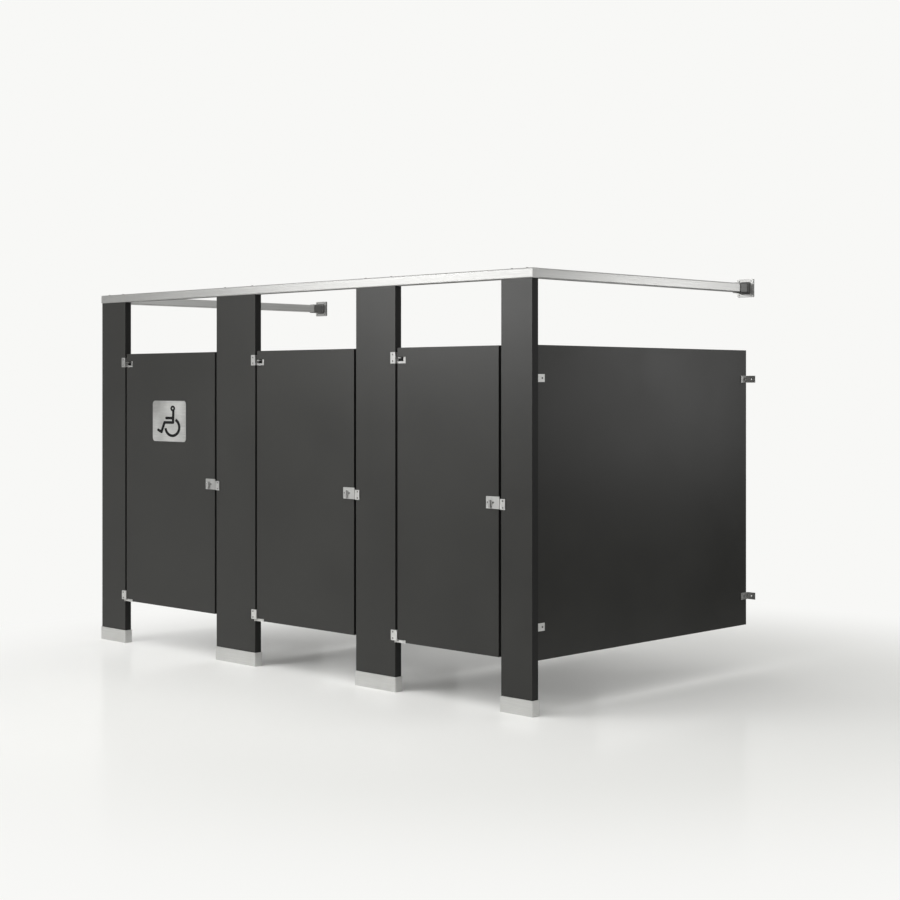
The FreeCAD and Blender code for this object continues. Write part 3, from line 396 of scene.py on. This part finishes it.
def lever_look(name):
    """Satin steel rose with a dark grey bar: the bar is all that stands further out than the rose."""
    look = Look(name)
    outward = look.arithmetic("ABSOLUTE", look.arithmetic("SUBTRACT", look.depth(), door_middle))
    is_bar = look.between(outward, whole_span, span=rose_seam)
    is_rose = look.between(is_bar, (1.0, 0.0), span=whole_span)
    marks = look.noise(even(lever_mark_scale), detail=3.0)
    turned = look.noise(along(Y_AXIS, *lever_turned_scales), detail=2.0)
    rose_colour = look.shade(turned, plate_tones)
    bar_colour = look.shade(marks, bar_tones)
    look.set(Base_Color=look.blend(is_bar, rose_colour, bar_colour), Metallic=is_rose)
    look.set(Roughness=look.between(look.sum(marks, turned, share=0.5), lever_roughness, span=(0.5, 1.0)))
    look.bump(marks, fine_relief)
    return look.material


def flange_look(name):
    """Cast flange: the plate's faces are pale; its rims and the socket in front of it take a darker painted
    shade.
    """
    look = Look(name, Metallic=1.0)
    is_plate = look.between(look.depth(), whole_span, span=flange_seam)
    is_unshaded_face = look.arithmetic("MULTIPLY", is_plate, look.faces(Y_AXIS))
    streaks = look.noise(along(X_AXIS, *flange_streak_scales), detail=3.0)
    sand = look.noise(even(sand_scale), detail=3.0)
    tone = look.sum(streaks, sand, share=0.4)
    plate_colour = look.shade(tone, flange_tones, span=(0.5, 0.9))
    painted_shade_colour = look.shade(tone, socket_and_rim_shade_tones, span=(0.5, 0.9))
    look.set(Base_Color=look.blend(is_unshaded_face, painted_shade_colour, plate_colour))
    look.set(Roughness=look.between(sand, satin_roughness))
    look.bump(tone, fine_relief)
    return look.material


def zinc_look(name):
    """Zinc plating: a spangle of pale grey and blue."""
    look = Look(name, Metallic=1.0)
    spangle = look.add("ShaderNodeSeparateColor", {"Color": look.cells(even(spangle_scale))}).outputs
    grains = look.noise(even(zinc_grain_scale), detail=3.0)
    dullness = look.sum(grains, spangle["Green"], share=0.4)
    look.set(Base_Color=look.shade(spangle["Red"], zinc_tones, span=whole_span))
    look.set(Roughness=look.between(dullness, zinc_roughness, span=(0.4, 1.0)))
    look.bump(grains, zinc_relief)
    return look.material


def moulded_look(name, tones, roughness, grain_scale, relief, metallic=0.0, gloss=moulded_gloss):
    """Moulded, cast or painted surface with a fine grain."""
    look = Look(name, Metallic=metallic, Specular_IOR_Level=gloss)
    grain = look.noise(even(grain_scale), detail=2.0)
    cloud = look.noise(even(moulded_cloud_scale), detail=3.0)
    look.set(Base_Color=look.shade(look.sum(grain, cloud, share=0.7), tones, span=(0.6, 1.1)))
    look.set(Roughness=look.between(look.sum(grain, cloud, share=0.5), roughness, span=(0.5, 1.0)))
    look.bump(grain, relief)
    return look.material


looks = {
    "front_board": board_look("board_front", Y_AXIS),
    "side_board": board_look("board_side", X_AXIS),
    "plate": brushed_look("plate_steel", Z_AXIS, plate_tones, satin_roughness),
    "top_hinge": brushed_look("top_hinge_steel_shaded", Z_AXIS, top_hinge_shaded_tones, satin_roughness),
    "bottom_hinge": brushed_look("bottom_hinge_steel_lit", Z_AXIS, bottom_hinge_lit_tones, satin_roughness),
    "keeper": brushed_look("keeper_steel_lit", Z_AXIS, keeper_lit_tones, satin_roughness),
    "shoe": brushed_look("shoe_steel_lit", X_AXIS, shoe_lit_tones, shoe_roughness),
    "bracket": brushed_look("bracket_steel_lit", Z_AXIS, bracket_lit_tones, satin_roughness),
    "flange": flange_look("flange_steel"),
    "rail_x": drawn_look("rail_aluminium_x", X_AXIS, headrail_tones, headrail_roughness),
    "rail_y": drawn_look("rail_aluminium_y_lit", Y_AXIS, return_rail_lit_tones, return_rail_roughness),
    "spigot": drawn_look("spigot_aluminium", Y_AXIS, spigot_tones, spigot_roughness),
    "fastener": fastener_look("fastener_steel"),
    "lever": lever_look("lever"),
    "zinc": zinc_look("zinc_steel"),
    "nylon": moulded_look("bush_nylon", nylon_tones, nylon_roughness, nylon_grain_scale, fine_relief),
    "rubber": moulded_look("bumper_rubber", rubber_tones, rubber_roughness, rubber_grain_scale,
                           rubber_relief),
    "cap": moulded_look("rail_cap", cap_tones, cap_roughness, cap_grain_scale, fine_relief, metallic=1.0),
    # The sign's strong cloud and wide tones are a painted sheen, standing in for a reflection gradient
    "sign": brushed_look("sign_steel", X_AXIS, sign_tones_with_painted_sheen, sign_roughness, cloud_and_sheen_share=1.4),
    "paint": moulded_look("sign_paint", paint_tones, paint_roughness, paint_grain_scale, paint_relief,
                          gloss=paint_gloss),
}

# Which look each slot of the record takes, for all its nodes that aren't named below
slot_looks = {
    "board": "front_board",
    "satin_steel": "plate",
    "rail_aluminium": "rail_x",
    "spigot_aluminium": "spigot",
    "fastener_steel": "fastener",
    "zinc_steel": "zinc",
    "lever_black": "lever",
    "bush_nylon": "nylon",
    "bumper_rubber": "rubber",
    "sign_steel": "sign",
    "sign_paint": "paint",
}

# Nodes whose faces or grain run another way, whose tone is another, or whose metal is a lit or shaded copy
# of their slot's as painted light and shade
node_looks = {
    "end_panel_left": "side_board",
    "end_panel_right": "side_board",
    "divider_panel_1": "side_board",
    "divider_panel_2": "side_board",
    "return_rail_left": "rail_y",
    "return_rail_right": "rail_y",
    "rail_end_caps": "cap",
    "pilaster_brackets": "bracket",
    "wall_flanges": "flange",
    "top_hinge_brackets": "top_hinge",
    "bottom_hinge_brackets": "bottom_hinge",
    "keepers": "keeper",
}
node_looks.update({node: "shoe" for node in frame["nodes"] if node.startswith("pilaster_shoe_")})


def dress(nodes, subparts):
    """Give every node its look."""
    for subpart in subparts:
        node = subpart["node"]
        look = looks[node_looks.get(node, slot_looks[subpart["material_slot"]])]
        for slot in nodes[node].material_slots:
            slot.material = look


def add_camera():
    """The photograph's camera."""
    data = bpy.data.cameras.new("camera")
    data.lens = camera_lens
    data.sensor_width = camera_sensor
    data.shift_x, data.shift_y = camera_shift
    data.clip_end = camera_reach
    camera = bpy.data.objects.new("camera", data)
    camera.location = camera_place
    camera.rotation_euler = (camera_tilt, 0, camera_turn)
    bpy.context.scene.collection.objects.link(camera)
    bpy.context.scene.camera = camera


def add_softbox(name, place, target, size, power, spread=math.pi):
    """Rectangular lamp that faces a target."""
    data = bpy.data.lights.new(name, "AREA")
    data.shape = "RECTANGLE"
    data.size, data.size_y = size
    data.energy = power
    data.spread = spread
    lamp = bpy.data.objects.new(name, data)
    lamp.location = place
    lamp.rotation_euler = (Vector(target) - Vector(place)).to_track_quat("-Z", "Y").to_euler()
    bpy.context.scene.collection.objects.link(lamp)


def add_world():
    """Soft fill from the bright side, its mirror image on gloss, and a white backdrop where it is seen."""
    world = bpy.data.worlds.new("studio")
    world.use_nodes = True
    nodes = Nodes(world.node_tree)
    path = nodes.add("ShaderNodeLightPath", {}).outputs
    direction = nodes.add("ShaderNodeTexCoord", {}).outputs["Generated"]

    def background(strength):
        node = nodes.add("ShaderNodeBackground", {"Color": backdrop_white, "Strength": strength})
        return node.outputs["Background"]

    fill = background(nodes.studio_level(direction, fill_levels))
    mirrored = background(nodes.studio_level(direction, mirrored_sky_levels))
    surface = nodes.mix_shaders(path["Is Glossy Ray"], fill, mirrored)
    for ray in backdrop_rays:
        surface = nodes.mix_shaders(path[ray], surface, background(backdrop_strength))
    nodes.feed(nodes.tree.nodes["World Output"].inputs["Surface"], surface)
    bpy.context.scene.world = world


def floor_look():
    """Pale floor that keeps the shadow near the partition and fades into the backdrop further out."""
    look = Look("floor", Base_Color=floor_colour, Roughness=floor_roughness, Specular_IOR_Level=floor_gloss)
    path = look.add("ShaderNodeLightPath", {}).outputs
    outward = look.add("ShaderNodeVectorMath", {0: look.place}, operation="NORMALIZE").outputs["Vector"]

    def glow(strength):
        node = look.add("ShaderNodeEmission", {"Color": backdrop_white, "Strength": strength})
        return node.outputs["Emission"]

    def faded(near, far, ray, middle, ends):
        """One surface near a middle and another further out, for one kind of ray."""
        reach = look.measure("DISTANCE", look.place, middle)
        fade = look.between(reach, whole_span, span=ends, interpolation_type="SMOOTHSTEP")
        return look.mix_shaders(look.arithmetic("MULTIPLY", fade, path[ray]), near, far)

    surface = look.shader.outputs["BSDF"]
    mirrored = glow(look.studio_level(outward, mirrored_floor_levels))
    surface = faded(surface, mirrored, "Is Glossy Ray", mirrored_fade_middle, mirrored_fade_ends)
    for ray in backdrop_rays:
        surface = faded(surface, glow(backdrop_strength), ray, seen_fade_middle, seen_fade_ends)
    look.feed(look.tree.nodes["Material Output"].inputs["Surface"], surface)
    return look.material


def add_floor():
    """Square floor, a hair below what stands on it."""
    half = floor_half_size
    corners = [(-half, -half, 0), (half, -half, 0), (half, half, 0), (-half, half, 0)]
    mesh = bpy.data.meshes.new("floor")
    mesh.from_pydata(corners, [], [(0, 1, 2, 3)])
    mesh.materials.append(floor_look())
    floor = bpy.data.objects.new("floor", mesh)
    floor.location.z = -floor_drop
    bpy.context.scene.collection.objects.link(floor)


bpy.context.scene.view_settings.view_transform = "Standard"
dress(frame["nodes"], frame["record"]["subparts"])
add_camera()
add_world()
add_floor()
for lamp_name, lamp_settings in softboxes.items():
    add_softbox(lamp_name, **lamp_settings)
